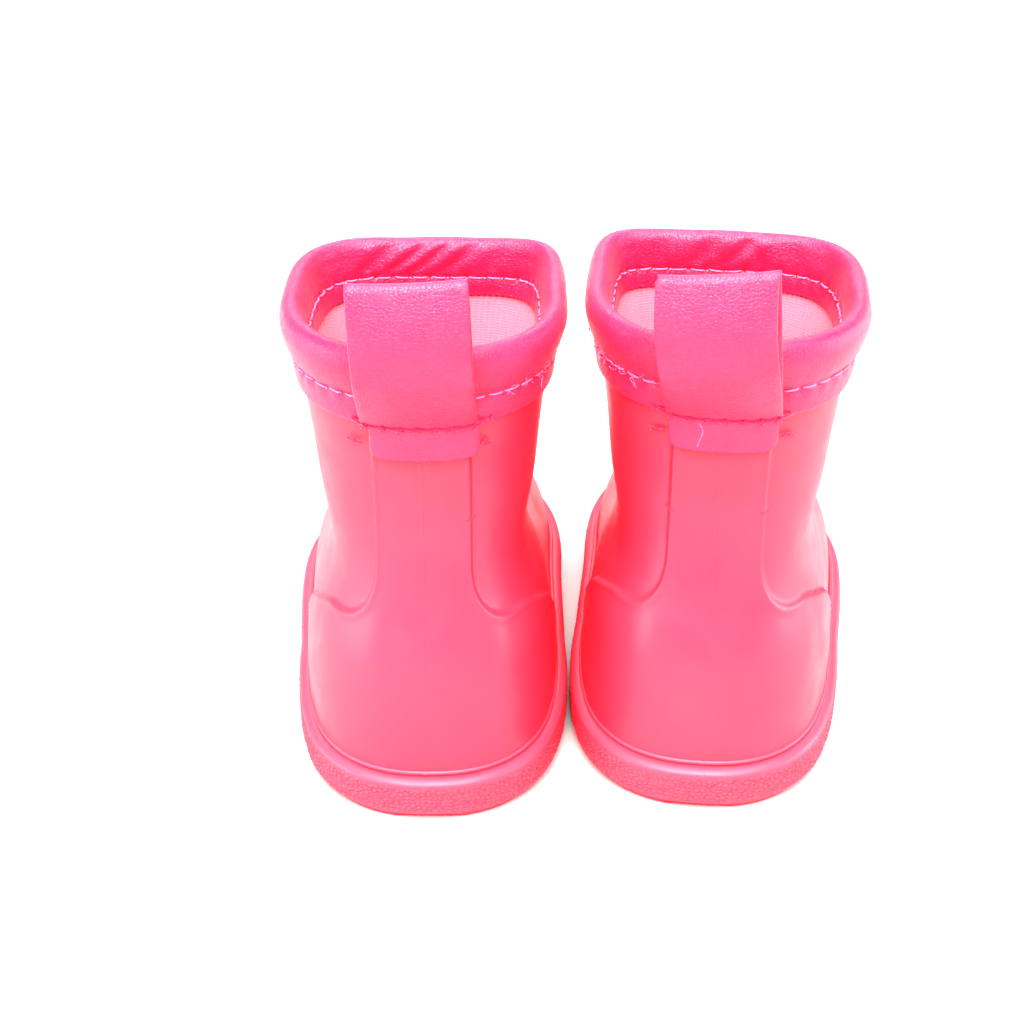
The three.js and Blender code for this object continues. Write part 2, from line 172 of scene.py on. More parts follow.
def outside(p):
    """Negative inside the boot's outer surface, positive outside, about one per millimetre."""
    x, y, z = p[..., 0], p[..., 1], p[..., 2]
    half = shaft_half(z)
    middle = (shaft_rear(z) + shaft_front(z)) / 2
    reach = (shaft_front(z) - shaft_rear(z)) / 2
    share = np.clip((z - CORNERS_FROM) / (SHELL_TOP - CORNERS_FROM), 0, 1)
    front = np.where(x < 0, CORNERS["front_inner"], CORNERS["front_outer"])
    n = ROUND + (np.where(y > middle, front, CORNERS["rear"]) - ROUND) * share
    leg = ((np.abs(x / half) ** n + np.abs((y - middle) / reach) ** n) ** (1 / n) - 1) * half

    width = foot_half(y)
    height = foot_top(y) - FOOT_BASE
    toe = np.maximum(0, (y - TOE_START) / (FOOT_LENGTH - TOE_START))
    heel = np.maximum(0, (HEEL_END - y) / (HEEL_END + HEEL_BULGE))
    rise = np.maximum(0, z - FOOT_BASE - toe_spring(y)) / height
    across = np.abs((x - foot_middle(y)) / width)
    pillow = ((across**2.5 + toe**2.3 + heel**2.3 + rise**2.5) ** (1 / 2.4) - 1) * np.minimum(width, height)

    body = smooth_min(pillow, leg, ANKLE_BLEND)
    return -smooth_min(-body, z - SHELL_FLOOR - toe_spring(y), FLOOR_BLEND)


def cast(start, direction, reach=150):
    """Where rays from inside the boot meet its outer surface."""
    near = np.zeros(start.shape[:-1])
    far = np.full(start.shape[:-1], float(reach))
    for _ in range(26):
        middle = (near + far) / 2
        inside = outside(start + direction * middle[..., None]) < 0
        near = np.where(inside, middle, near)
        far = np.where(inside, far, middle)
    return start + direction * near[..., None]


def normals(p, level=False):
    """Outward directions of the surface near these points, or their horizontal part."""
    e = 0.05
    steps = np.eye(3) * e
    n = np.stack([outside(p + s) - outside(p - s) for s in steps], -1)
    if level:
        n[..., 2] = 0
    return n / np.linalg.norm(n, axis=-1, keepdims=True)


def drop_rim(p):
    """Lowers the top of the straight boot towards the front, as on the real one."""
    share = np.clip((p[..., 2] - RIM_DROP_FROM) / (SHELL_TOP - RIM_DROP_FROM), 0, 1)
    rear, front = shaft_rear(SHELL_TOP), shaft_front(SHELL_TOP)
    out = p.copy()
    out[..., 2] -= RIM_DROP * share * (p[..., 1] - rear) / (front - rear)
    return out


def spine(shaft_count, instep_count, foot_count):
    """Centres of the sections from the top edge to the toe, and the way that column 0 looks in each."""
    centres, aheads = [], []
    for z in np.linspace(SHELL_TOP, INSTEP["z"], shaft_count):
        centres.append((0, (shaft_rear(z) + shaft_front(z)) / 2, z))
        aheads.append((0, 1, 0))
    for share in np.linspace(0, 1, instep_count + 1)[1:]:
        ahead = np.array([0, math.cos(share * math.pi / 2), math.sin(share * math.pi / 2)])
        reach = INSTEP["reach_top"] + (INSTEP["reach_bottom"] - INSTEP["reach_top"]) * share
        centres.append(np.array([0, INSTEP["y"], INSTEP["z"]]) - ahead * reach)
        aheads.append(ahead)
    start = INSTEP["z"] - INSTEP["reach_bottom"]
    for i in range(1, foot_count + 1):
        share = math.sin(i / (foot_count + 0.45) * math.pi / 2)
        y = INSTEP["y"] + (FOOT_LENGTH - INSTEP["y"]) * share
        low = FOOT_BASE + 7 + toe_spring(y)
        settled = smooth_step(i / foot_count, 0, 0.7)
        centres.append((foot_middle(y) * settled, y, start + (low - start) * settled))
        aheads.append((0, 0, 1))
    return np.array(centres, float), np.array(aheads, float)


def columns(count, crowding=0.0):
    """Angles round a section. Crowding, from 0 to 1, brings them closer together at the back."""
    u = np.arange(count) / count
    return 2 * np.pi * u + crowding * np.sin(2 * np.pi * u)


def boot_rings(counts, angles):
    """The boot's surface as rings of points, the tip of the toe, and the outward directions of both."""
    centres, aheads = spine(*counts)
    sideways = np.array([1.0, 0, 0])
    directions = aheads[:, None] * np.cos(angles)[None, :, None] + sideways * np.sin(angles)[None, :, None]
    rings = cast(np.broadcast_to(centres[:, None], directions.shape), directions)
    tip = cast(centres[-1:], np.array([[0, 1.0, 0]]))
    ring_normals = normals(rings)
    ring_normals[0] = normals(rings[0], level=True)
    return rings, tip, ring_normals, normals(tip)


def shaft_point(angles, z, distance):
    """Points beside the shaft's surface, all three given as arrays: direction, height, distance out."""
    height = np.minimum(z, SHELL_TOP)
    middle = (shaft_rear(height) + shaft_front(height)) / 2
    start = np.stack([np.zeros_like(middle), middle, height], -1)
    direction = np.stack([np.sin(angles), np.cos(angles), np.zeros_like(angles)], -1)
    p = cast(start, direction)
    p = p + normals(p, level=True) * np.asarray(distance)[..., None]
    p[..., 2] = z
    return p


def outline(z, margin, spacing):
    """The plan outline of the boot at one height, moved out by a margin, from the toe round."""
    turn = np.linspace(0, 2 * np.pi, 1441)[:-1]
    direction = np.stack([np.sin(turn) * 0.45, np.cos(turn), 0 * turn], -1)
    direction /= np.linalg.norm(direction, axis=1)[:, None]
    start = np.broadcast_to(np.array([0, FOOT_LENGTH / 2, z], float), direction.shape)
    p = cast(start, direction)
    even = resample(p, max(24, round(length_of(p) / spacing)))
    return even + normals(even, level=True) * margin


def length_of(loop):
    return np.linalg.norm(np.roll(loop, -1, 0) - loop, axis=1).sum()


def resample(loop, count):
    """A closed row of points made even, starting from the same point."""
    closed = np.vstack([loop, loop[:1]])
    run = np.concatenate([[0], np.cumsum(np.linalg.norm(np.diff(closed, axis=0), axis=1))])
    at = np.arange(count) / count * run[-1]
    return np.stack([np.interp(at, run, closed[:, k]) for k in range(3)], -1)


def spline(points, samples):
    """A smooth open row through a few points, with the same number of samples in each stretch."""
    p = np.array(points, float)
    p = np.vstack([2 * p[0] - p[1], p, 2 * p[-1] - p[-2]])
    t = (np.arange(samples) / samples)[:, None]
    rows = []
    for a, b, c, d in zip(p[:-3], p[1:-2], p[2:-1], p[3:]):
        square, cube = 2 * a - 5 * b + 4 * c - d, 3 * b - a - 3 * c + d
        rows.append(0.5 * (2 * b + (c - a) * t + square * t**2 + cube * t**3))
    return np.vstack([*rows, p[-2:-1]])


# ---- Places of the boots ------------------------------------------------------------------------
MM = 0.001
JOINTS = {j["name"]: j for j in frame["joints"]}


def stance(side):
    """The frame point under a boot's heel, and the directions of its Y and of a right boot's X."""
    heel = Vector(JOINTS[f"{side}_loop_tilt"]["pos_m"])
    toe = Vector(JOINTS[f"{side}_insole_lift"]["pos_m"])
    ahead = toe - heel
    ahead.z = 0
    ahead.normalize()
    origin = heel - ahead * LOOP_HINGE_Y * MM
    origin.z = 0
    return np.array(origin), np.array(ahead), np.array([ahead.y, -ahead.x, 0])


STANCES = {side: stance(side) for side in ("left", "right")}


def place(points, side):
    """Carries points from a boot's own frame, in millimetres, into the frame, in metres."""
    origin, ahead, across = STANCES[side]
    p = np.asarray(points, float).reshape(-1, 3) * MM
    x = p[:, 0:1] * (1 if side == "right" else -1)
    return origin + x * across + p[:, 1:2] * ahead + p[:, 2:3] * np.array([0, 0, 1.0])


# ---- Mesh building ------------------------------------------------------------------------------
def grid(rows, count, start=0, close_rows=False, close_columns=True):
    """Quads over rows of points that are numbered row by row."""
    r = np.arange(rows if close_rows else rows - 1)
    c = np.arange(count if close_columns else count - 1)
    r, c = (a.ravel() for a in np.meshgrid(r, c, indexing="ij"))
    r2, c2 = (r + 1) % rows, (c + 1) % count
    quads = np.stack([r * count + c, r * count + c2, r2 * count + c2, r2 * count + c], 1)
    return (quads + start).tolist()


def fan(ring_start, count, tip):
    return [[ring_start + j, ring_start + (j + 1) % count, tip] for j in range(count)]


def rungs(start, count):
    """Closes a ring with strips across it, from its first point to the one opposite."""
    faces = []
    low, high = 0, count - 1
    while low + 1 < high - 1:
        faces.append([start + low, start + low + 1, start + high - 1, start + high])
        low, high = low + 1, high - 1
    if low + 1 < high:
        faces.append([start + low, start + low + 1, start + high])
    return faces


def reverse(faces):
    return [face[::-1] for face in faces]


def enclosed(points, faces):
    """The volume inside a closed mesh, negative where its faces point in."""
    total = 0.0
    for size in (3, 4):
        chosen = np.array([f for f in faces if len(f) == size])
        for k in range(1, size - 1) if len(chosen) else ():
            a, b, c = (points[chosen[:, i]] for i in (0, k, k + 1))
            total += np.einsum("ij,ij->i", a, np.cross(b, c)).sum() / 6
    return total


def add_piece(name, points, faces, side, body, material, replaces=(), flat=None):
    """Makes one piece from points in a boot's own frame and lets it ride on a body."""
    points = place(points, side)
    if enclosed(points, faces) < 0:
        faces = reverse(faces)
    mesh = bpy.data.meshes.new(name)
    mesh.from_pydata(points.tolist(), [], faces)
    mesh.shade_smooth()
    mesh.materials.append(material)
    if flat is not None:
        spread = mesh.attributes.new("flat", "FLOAT_VECTOR", "POINT")
        spread.data.foreach_set("vector", np.asarray(flat, np.float32).ravel())
    piece = bpy.data.objects.new(name, mesh)
    bpy.context.scene.collection.objects.link(piece)
    if body:
        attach(piece, body)
    if replaces:
        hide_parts(*replaces)
    return piece


def tube(path, radius, sides=8, ends=True):
    """Points and faces of a round thread along a row of points, tapered shut at both ends."""
    path = np.array(path, float)
    along = np.gradient(path, axis=0)
    along /= np.linalg.norm(along, axis=1)[:, None]
    first = np.cross(along, np.where(np.abs(along[:, 2:3]) < 0.9, [[0, 0, 1.0]], [[1.0, 0, 0]]))
    first /= np.linalg.norm(first, axis=1)[:, None]
    second = np.cross(along, first)
    turn = np.arange(sides) / sides * 2 * np.pi
    size = np.full(len(path), float(radius))
    if ends:
        size[[0, -1]] *= 0.55
    ring = first[:, None] * np.cos(turn)[None, :, None] + second[:, None] * np.sin(turn)[None, :, None]
    points = path[:, None] + ring * size[:, None, None]
    points = np.vstack([points.reshape(-1, 3), path[:1], path[-1:]])
    n = len(path)
    faces = grid(n, sides) + reverse(fan(0, sides, n * sides)) + fan((n - 1) * sides, sides, n * sides + 1)
    return points, faces


def join(parts):
    """Several sets of points and faces as one."""
    points, faces, start = [], [], 0
    for p, f in parts:
        points.append(p)
        faces += [[i + start for i in face] for face in f]
        start += len(p)
    return np.vstack(points), faces


# ---- Materials ----------------------------------------------------------------------------------
def srgb(red, green, blue):
    """A colour given as screen values from 0 to 255, as Blender's linear one."""
    channels = [c / 255 for c in (red, green, blue)]
    return tuple(c / 12.92 if c < 0.04045 else ((c + 0.055) / 1.055) ** 2.4 for c in channels) + (1,)


class Finish:
    """A material's nodes, with short ways to add and link them. Lengths in its textures are in mm."""

    def __init__(self, name, coordinates="Object"):
        self.material = bpy.data.materials.new(name)
        self.material.use_nodes = True
        self.tree = self.material.node_tree
        self.shader = self.tree.nodes["Principled BSDF"]
        if coordinates == "Object":
            source = self.tree.nodes.new("ShaderNodeTexCoord").outputs["Object"]
        else:
            attribute = self.tree.nodes.new("ShaderNodeAttribute")
            attribute.attribute_name = coordinates
            source = attribute.outputs["Vector"]
        self.place = self.mapping(source, 1 / MM)

    def node(self, kind, **values):
        node = self.tree.nodes.new(kind)
        for key, value in values.items():
            setattr(node, key, value)
        return node

    def link(self, a, b):
        self.tree.links.new(a, b)

    def mapping(self, source, scale):
        node = self.node("ShaderNodeMapping")
        node.inputs["Scale"].default_value = (scale,) * 3 if np.isscalar(scale) else scale
        self.link(source, node.inputs["Vector"])
        return node.outputs["Vector"]

    def noise(self, size, detail=3.0, rough=0.5, source=None):
        node = self.node("ShaderNodeTexNoise")
        node.inputs["Scale"].default_value = 1 / size
        node.inputs["Detail"].default_value = detail
        node.inputs["Roughness"].default_value = rough
        self.link(source or self.place, node.inputs["Vector"])
        return node.outputs["Fac"]

    def cells(self, size, feature="F1", source=None):
        node = self.node("ShaderNodeTexVoronoi", feature=feature)
        node.inputs["Scale"].default_value = 1 / size
        self.link(source or self.place, node.inputs["Vector"])
        return node.outputs["Distance"]

    def wave(self, size, direction, distortion=0.0, source=None):
        node = self.node("ShaderNodeTexWave", bands_direction=direction)
        node.inputs["Scale"].default_value = 0.314 / size
        node.inputs["Distortion"].default_value = distortion
        node.inputs["Detail"].default_value = 1
        self.link(source or self.place, node.inputs["Vector"])
        return node.outputs["Fac"]

    def ramp(self, value, low, high, start=0.0, end=1.0):
        node = self.node("ShaderNodeMapRange")
        for key, number in (("From Min", low), ("From Max", high), ("To Min", start), ("To Max", end)):
            node.inputs[key].default_value = number
        self.link(value, node.inputs["Value"])
        return node.outputs["Result"]

    def math(self, operation, a, b):
        node = self.node("ShaderNodeMath", operation=operation)
        for socket, value in zip(node.inputs, (a, b)):
            if isinstance(value, (int, float)):
                socket.default_value = value
            else:
                self.link(value, socket)
        return node.outputs["Value"]

    def mix(self, factor, a, b):
        node = self.node("ShaderNodeMix", data_type="RGBA")
        sockets = [s for s in node.inputs if s.enabled]
        for socket, value in zip(sockets, (factor, a, b)):
            if isinstance(value, tuple):
                socket.default_value = value
            else:
                self.link(value, socket)
        return next(s for s in node.outputs if s.enabled)

    def bumps(self, *layers):
        """Bump layers, each a height value and its depth in mm."""
        normal = None
        for height, depth in layers:
            node = self.node("ShaderNodeBump")
            node.inputs["Strength"].default_value = 1.0
            node.inputs["Distance"].default_value = depth * MM
            self.link(height, node.inputs["Height"])
            if normal:
                self.link(normal, node.inputs["Normal"])
            normal = node.outputs["Normal"]
        self.link(normal, self.shader.inputs["Normal"])

    def set(self, **values):
        for key, value in values.items():
            socket = self.shader.inputs[key.replace("_", " ")]
            if isinstance(value, bpy.types.NodeSocket):
                self.link(value, socket)
            else:
                socket.default_value = value


def rubber(name, light, deep, roughness, grain):
    f = Finish(name)
    cloud = f.noise(38, 2.0)
    colour = f.mix(f.ramp(cloud, 0.35, 0.65), deep, light)
    # Painted highlight: sharp convex edges are mixed towards the light colour, standing in for the light
    # lines along ridges and lips.
    edge = f.ramp(f.node("ShaderNodeNewGeometry").outputs["Pointiness"], 0.5, 0.56)
    edge_highlighted = f.mix(f.math("MULTIPLY", edge, 0.35), colour, light)
    fine = f.noise(0.7, 4.0, 0.6)
    f.set(Base_Color=edge_highlighted)
    f.set(Roughness=f.ramp(f.noise(9, 3.0), 0.3, 0.7, roughness - 0.05, roughness + 0.06))
    f.set(Specular_IOR_Level=0.5)
    f.bumps((fine, grain), (f.noise(6, 2.0), 0.03))
    return f.material


def leatherette(name, coordinates, light, deep):
    f = Finish(name, coordinates)
    cloud = f.noise(16, 3.0)
    colour = f.mix(f.ramp(cloud, 0.35, 0.65), deep, light)
    grain = f.cells(0.75, "SMOOTH_F1")
    crack = f.ramp(f.cells(0.9, "DISTANCE_TO_EDGE"), 0.0, 0.12)
    darkened = f.mix(f.ramp(crack, 0, 1, 0.22, 0.0), colour, deep)
    f.set(Base_Color=darkened)
    f.set(Roughness=f.ramp(f.noise(3, 3.0), 0.3, 0.7, 0.32, 0.42))
    f.set(Specular_IOR_Level=0.6)
    f.set(Sheen_Weight=0.1, Sheen_Roughness=0.4)
    f.bumps((f.noise(0.4, 4.0, 0.65), 0.06), (grain, 0.1), (crack, 0.05), (f.noise(5, 2.0), 0.07))
    return f.material


def knit(name, light, deep):
    f = Finish(name)
    loops = f.wave(0.8, "Z", 3.0)
    fuzz = f.noise(0.35, 4.0, 0.7)
    shade = f.math("MULTIPLY", loops, fuzz)
    f.set(Base_Color=f.mix(f.ramp(shade, -0.3, 0.5), deep, light))
    f.set(Roughness=0.9)
    f.set(Sheen_Weight=0.35, Sheen_Roughness=0.5)
    f.bumps((loops, 0.05), (fuzz, 0.18))
    return f.material


def textile(name, light, deep):
    """The insole's woven top cover."""
    f = Finish(name)
    weave = f.math("MAXIMUM", f.wave(1.1, "X", 0.6), f.wave(1.1, "Y", 0.6))
    fuzz = f.noise(0.4, 4.0, 0.7)
    f.set(Base_Color=f.mix(f.math("MULTIPLY", weave, fuzz), deep, light))
    f.set(Roughness=0.92)
    f.set(Sheen_Weight=0.3, Sheen_Roughness=0.5)
    f.bumps((weave, 0.15), (fuzz, 0.08))
    return f.material


def thread(name, light, deep):
    f = Finish(name)
    twist = f.wave(0.35, "DIAGONAL", 0.8)
    f.set(Base_Color=f.mix(f.ramp(twist, 0.2, 0.8), deep, light))
    f.set(Roughness=0.55)
    f.set(Sheen_Weight=0.4, Sheen_Roughness=0.4)
    f.bumps((twist, 0.08), (f.noise(0.2, 3.0), 0.04))
    return f.material


def foam(name, light, deep):
    f = Finish(name)
    pores = f.cells(0.6)
    f.set(Base_Color=f.mix(f.ramp(pores, 0.1, 0.6), deep, light))
    f.set(Roughness=0.95)
    f.bumps((pores, 0.2))
    return f.material


def paper(name):
    """The pale sheet that the boots stand on."""
    f = Finish(name)
    cloud = f.ramp(f.noise(60, 2.0), 0.3, 0.7)
    f.set(Base_Color=f.mix(cloud, (0.56, 0.545, 0.53, 1), (0.58, 0.565, 0.55, 1)))
    f.set(Roughness=0.9)
    f.set(Specular_IOR_Level=0.1)
    return f.material


RUBBER = rubber("coral_rubber", (0.92, 0.05, 0.092, 1), (0.9, 0.042, 0.084, 1), 0.38, 0.012)
SOLE_RUBBER = rubber("coral_sole", (0.92, 0.072, 0.118, 1), (0.9, 0.062, 0.108, 1), 0.44, 0.03)
LEATHER = leatherette("pink_leatherette", "Object", (0.7, 0.024, 0.1, 1), (0.62, 0.016, 0.084, 1))
STRAP_LEATHER = leatherette("strap_leatherette", "flat", (0.76, 0.034, 0.108, 1), (0.68, 0.026, 0.094, 1))
KNIT = knit("salmon_knit", srgb(238, 150, 168), srgb(222, 108, 134))
TEXTILE = textile("insole_textile", srgb(246, 150, 158), srgb(226, 100, 118))
THREAD_PINK = thread("pink_thread", srgb(250, 150, 192), srgb(230, 80, 146))
# Darker thread for the seam across the strap: partly the thread's own deeper colour, partly painted shade
# from the puffed strap above the seam.
THREAD_DEEP_SHADED = thread("deep_shaded_thread", srgb(196, 26, 100), srgb(150, 6, 62))
FOAM = foam("white_foam", srgb(246, 240, 228), srgb(226, 214, 194))


# ---- Moulded shell ------------------------------------------------------------------------------
STAY_HALF = 12.4  # half width of the raised stay down the back
COUNTER_HEIGHTS = [
    (0, 55), (43, 54), (61, 54.3), (80, 51.3), (98, 46),
    (109, 39), (119, 30), (125, 19), (131, 5), (137, -10),
]
COUNTER_BLEND = 19  # how softly the stay runs out into the heel counter
RELIEF = 0.85  # how far stay and counter stand out

counter_height = curve(COUNTER_HEIGHTS, 1)


def shell_relief(p):
    """How far the moulded surface stands out from the plain one: stay, counter and parting line."""
    x, y, z = p[..., 0], p[..., 1], p[..., 2]
    around = np.degrees(np.arctan2(np.abs(x), 30 - y))
    stay = np.abs(x) - STAY_HALF + 3 * np.maximum(0, y - 32)
    counter = z - counter_height(around)
    edge = smooth_min(stay, counter, COUNTER_BLEND)
    raised = RELIEF * smooth_step(-edge, -0.5, 0.5) + 0.3 * bump(edge + 0.55, 0.7)
    parting = 0.16 * bump(x, 0.4)
    raised = (raised + parting) * (1 - smooth_step(z, 108, 114))
    uneven = 0.05 * np.sin(x * 0.21 + z * 0.13) * np.sin(y * 0.17 - z * 0.11 + 1.3)
    return raised + uneven


def shell(side):
    angles = columns(360, 0.52)
    rings, tip, out, tip_out = boot_rings((70, 230, 50), angles)
    outer = drop_rim(rings + out * shell_relief(rings)[..., None])
    chosen = list(range(0, len(rings), 8))
    if chosen[-1] != len(rings) - 1:
        chosen.append(len(rings) - 1)
    inner = drop_rim(rings[chosen] - out[chosen] * WALL)
    count = len(angles)
    outer_size = outer.shape[0] * count
    points = np.vstack([outer.reshape(-1, 3), tip, inner.reshape(-1, 3), tip - tip_out * WALL])
    inner_start = outer_size + 1
    faces = grid(outer.shape[0], count) + fan(outer_size - count, count, outer_size)
    inner_end = inner_start + inner.shape[0] * count
    faces += reverse(grid(inner.shape[0], count, inner_start) + fan(inner_end - count, count, inner_end))
    rim = [[j, (j + 1) % count, inner_start + (j + 1) % count, inner_start + j] for j in range(count)]
    faces += reverse(rim)
    add_piece(
        f"{side}_shell", points, faces, side, f"{side}_boot", RUBBER, [f"{side}_upper_shell"]
    )


# ---- Knitted lining -----------------------------------------------------------------------------
RIBS = 150
RIB_DEPTH = 0.22


def lining(side):
    angles = columns(RIBS * 4)
    rings, tip, out, tip_out = boot_rings((36, 60, 16), angles)
    z = np.full(len(angles), float(LINING_TOP))
    depth = WALL + GAP
    outer = rings - out * depth
    outer[0] = shaft_point(angles, z, np.full(len(angles), -depth))
    ribs = RIB_DEPTH * np.cos(angles * RIBS)
    inner = rings - out * (depth + LINING + ribs)[..., None]
    inner[0] = shaft_point(angles, z, -(depth + LINING + ribs))
    keep = [0] + [i for i in range(1, len(rings)) if rings[i, 0, 2] < LINING_TOP - 1 or i > 35]
    outer, inner = drop_rim(outer[keep]), drop_rim(inner[keep])
    count, rows = len(angles), len(keep)
    size = rows * count
    outer_tip, inner_tip = tip - tip_out * depth, tip - tip_out * (depth + LINING)
    points = np.vstack([outer.reshape(-1, 3), outer_tip, inner.reshape(-1, 3), inner_tip])
    faces = grid(rows, count) + fan(size - count, count, size)
    faces += reverse(grid(rows, count, size + 1) + fan(2 * size + 1 - count, count, 2 * size + 1))
    faces += reverse([[j, (j + 1) % count, size + 1 + (j + 1) % count, size + 1 + j] for j in range(count)])
    add_piece(
        f"{side}_knit_lining", points, faces, side, f"{side}_boot", KNIT, [f"{side}_lining"]
    )


# ---- Outsole ------------------------------------------------------------------------------------
# Side of the outsole from the tray inside, over the bead and down to the tread: height, margin.
SOLE_PROFILE = [
    (4.7, -9), (4.9, -2.5), (7, -0.3), (14.6, -0.2), (15.35, 0.1), (15.6, 0.6), (15.45, 1.15), (15.0, 1.4),
    (14.5, 1.3), (14.2, 0.85), (13.95, 0.6), (13.75, 0.85), (13.7, 1.3), (13.6, 1.9), (13.35, 2.6),
    (12.95, 3.2), (12.45, 3.6), (12.0, 3.8), (11.75, 3.78), (11.6, 3.7),
]
BAND = {"top": 11.5, "bottom": 3.2, "margin": 3.8, "rows": 27}
SOLE_FOOT = [(2.9, 3.75), (2.5, 3.45), (2.25, 2.9), (2.2, 1.2)]
PEBBLE = 1.35
PEBBLE_HEIGHT = 0.55


def pebbles(s, z, total):
    """Height of a moulded pebble grain, from 0 to 1, at places along the band and up it."""
    cells = round(total / PEBBLE)
    u, v = s / total * cells, z / (PEBBLE * 0.82)
    nearest = np.full(u.shape, 9.0)
    second = np.full(u.shape, 9.0)
    rng = np.random.default_rng(7)
    jitter = rng.uniform(0.15, 0.85, (cells, 64, 2))
    for i in (-1, 0, 1):
        for j in (-1, 0, 1):
            cu, cv = np.floor(u).astype(int) + i, np.floor(v).astype(int) + j
            seed = jitter[cu % cells, cv % 64]
            d = np.hypot((cu + seed[..., 0] - u) * 0.8, cv + seed[..., 1] - v)
            second = np.minimum(second, np.maximum(d, nearest))
            nearest = np.minimum(nearest, d)
    return smooth_step(second - nearest, 0.02, 0.45)


def outsole(side):
    base = outline(SOLE_TOP, 0, 0.34)
    out = normals(base, level=True)
    count = len(base)
    run = np.concatenate([[0], np.cumsum(np.linalg.norm(np.diff(base, axis=0), axis=1))])
    heights = np.linspace(BAND["top"], BAND["bottom"], BAND["rows"])
    band = [(z, BAND["margin"]) for z in heights]
    profile = np.array(SOLE_PROFILE + band + SOLE_FOOT)
    s, z = np.meshgrid(run, profile[:, 0])
    above = smooth_step(z, BAND["bottom"] - 0.1, BAND["bottom"] + 0.6)
    grained = above * (1 - smooth_step(z, BAND["top"] - 0.7, BAND["top"]))
    margin = profile[:, 1:2] + grained * PEBBLE_HEIGHT * (pebbles(s, z, length_of(base)) - 0.45)
    notch = bump(base[None, :, 0], 0.45) * (base[None, :, 1] < 30)
    lip = (z > 11) & (profile[:, 1:2] > 0.5)
    margin = margin + np.where(lip, 0.18 * notch, 0)
    points = base[None] + out[None] * margin[..., None]
    points[..., 2] = z + toe_spring(points[..., 1])
    faces = grid(len(profile), count) + reverse(rungs(0, count)) + rungs((len(profile) - 1) * count, count)
    add_piece(
        f"{side}_sole", points, faces, side, f"{side}_boot", SOLE_RUBBER, [f"{side}_outsole"]
    )


LUGS = [
    (-7, 14), (18, 28), (32, 42), (46, 56), (72, 84),
    (88, 98), (102, 112), (116, 126), (130, 140), (144, 156),
]


def tread(side):
    """The lugs under the sole, cut off by cross grooves."""
    edge = outline(SOLE_TOP, SOLE_MARGIN - TREAD_INSET, 0.8)
    middle = len(edge) // 2
    halves = [edge[:middle], edge[middle:]]
    if halves[0][:, 0].mean() > halves[1][:, 0].mean():
        halves.reverse()
    limits = []
    for half in halves:
        ordered = half[np.argsort(half[:, 1])]
        limits.append((ordered[:, 1], ordered[:, 0]))
    low_y, high_y = edge[:, 1].min() + 0.02, edge[:, 1].max() - 0.02
    share = (1 - np.cos(np.linspace(0, np.pi, 27))) / 2
    parts = []
    for start, end in LUGS:
        first, last = max(start, low_y), min(end, high_y)
        ys = first + (last - first) * share
        left, right = (np.interp(ys, *limit) for limit in limits)
        foot = toe_spring(ys)
        top = foot + TREAD_HEIGHT + 0.3
        bevel = 0.35
        rear_side = [(left, top), (left, foot + bevel), (left + bevel, foot)]
        ring = rear_side + [(right - bevel, foot), (right, foot + bevel), (right, top)]
        points = np.stack([np.stack([x, ys, z], -1) for x, z in ring], 1).reshape(-1, 3)
        faces = grid(len(ys), 6) + [[5, 4, 3, 2], [5, 2, 1, 0]]
        end = (len(ys) - 1) * 6
        faces += [[end + 2, end + 3, end + 4, end + 5], [end, end + 1, end + 2, end + 5]]
        parts.append((points, faces))
    points, faces = join(parts)
    add_piece(f"{side}_tread", points, faces, side, f"{side}_boot", SOLE_RUBBER)


# ---- Insole -------------------------------------------------------------------------------------
def insole(side):
    """A loose footbed with rounded edges, dished at the heel and piped round its rim."""
    side_gap = WALL + 2 * GAP + LINING + 1.0
    bottom = SHELL_FLOOR + WALL + 2 * GAP + LINING + 0.1
    rows = [
        (bottom, 9), (bottom + 0.2, 5), (bottom + 0.8, 2), (bottom + 1.8, 0.5), (bottom + 2.5, 0.3),
        (bottom + 2.85, 0.7), (bottom + 2.9, 1.3), (bottom + 2.6, 2.0),
        (bottom + 2.55, 3.5), (bottom + 2.5, 8),
    ]
    base = outline(SOLE_TOP, 0, 1.0)
    out = normals(base, level=True)
    points = np.stack([base - out * (side_gap + inset) for _, inset in rows])
    points[..., 2] = np.array([z for z, _ in rows])[:, None] + toe_spring(points[..., 1])
    dish = 0.5 * bump((points[..., 1] - 26) / 22, 1) * bump(points[..., 0] / 18, 1)
    points[-2:, :, 2] -= dish[-2:]
    count = len(base)
    faces = grid(len(rows), count) + reverse(rungs(0, count)) + rungs((len(rows) - 1) * count, count)
    add_piece(
        f"{side}_footbed", points, faces, side, f"{side}_insole_pad",
        TEXTILE, [f"{side}_insole"]
    )


# ---- Padded collar ------------------------------------------------------------------------------
# Section of the collar, as outward distance from the shell and height: hem, seam, roll, seam, hem.
COLLAR_SHOWN = [
    (0.55, 117.35), (1.2, 117.3), (1.5, 117.75), (1.55, 119), (1.45, 121), (1.28, 123), (1.0, 124.5),
    (0.62, 125.2), (0.45, 125.5), (0.68, 125.95), (1.15, 126.9), (1.55, 128.4), (1.8, 130.4),
    (1.9, 132.6), (1.8, 134.8), (1.4, 136.8), (0.75, 138.4), (-0.3, 139.4), (-1.4, 139.7), (-2.5, 139.4),
    (-3.45, 138.4), (-4.1, 136.8), (-4.4, 134.6), (-4.45, 132.4), (-4.3, 130.4), (-4.05, 128.9),
    (-3.75, 128.15), (-3.7, 127.85), (-3.95, 127.3), (-4.15, 126.2), (-4.2, 124.6), (-4.15, 123),
    (-4.15, 122.2), (-3.8, 121.95), (-3.45, 122.1),
]
COLLAR_HIDDEN = [
    (-3.25, 124), (-3.3, 129), (-3.45, 134), (-3.3, 137), (-2.5, 138.5), (-1.4, 138.9), (-0.2, 138.4),
    (0.5, 137), (0.6, 134), (0.4, 129), (0.33, 124), (0.33, 119), (0.38, 117.7),
]
SEAM_PITCH = 5.2
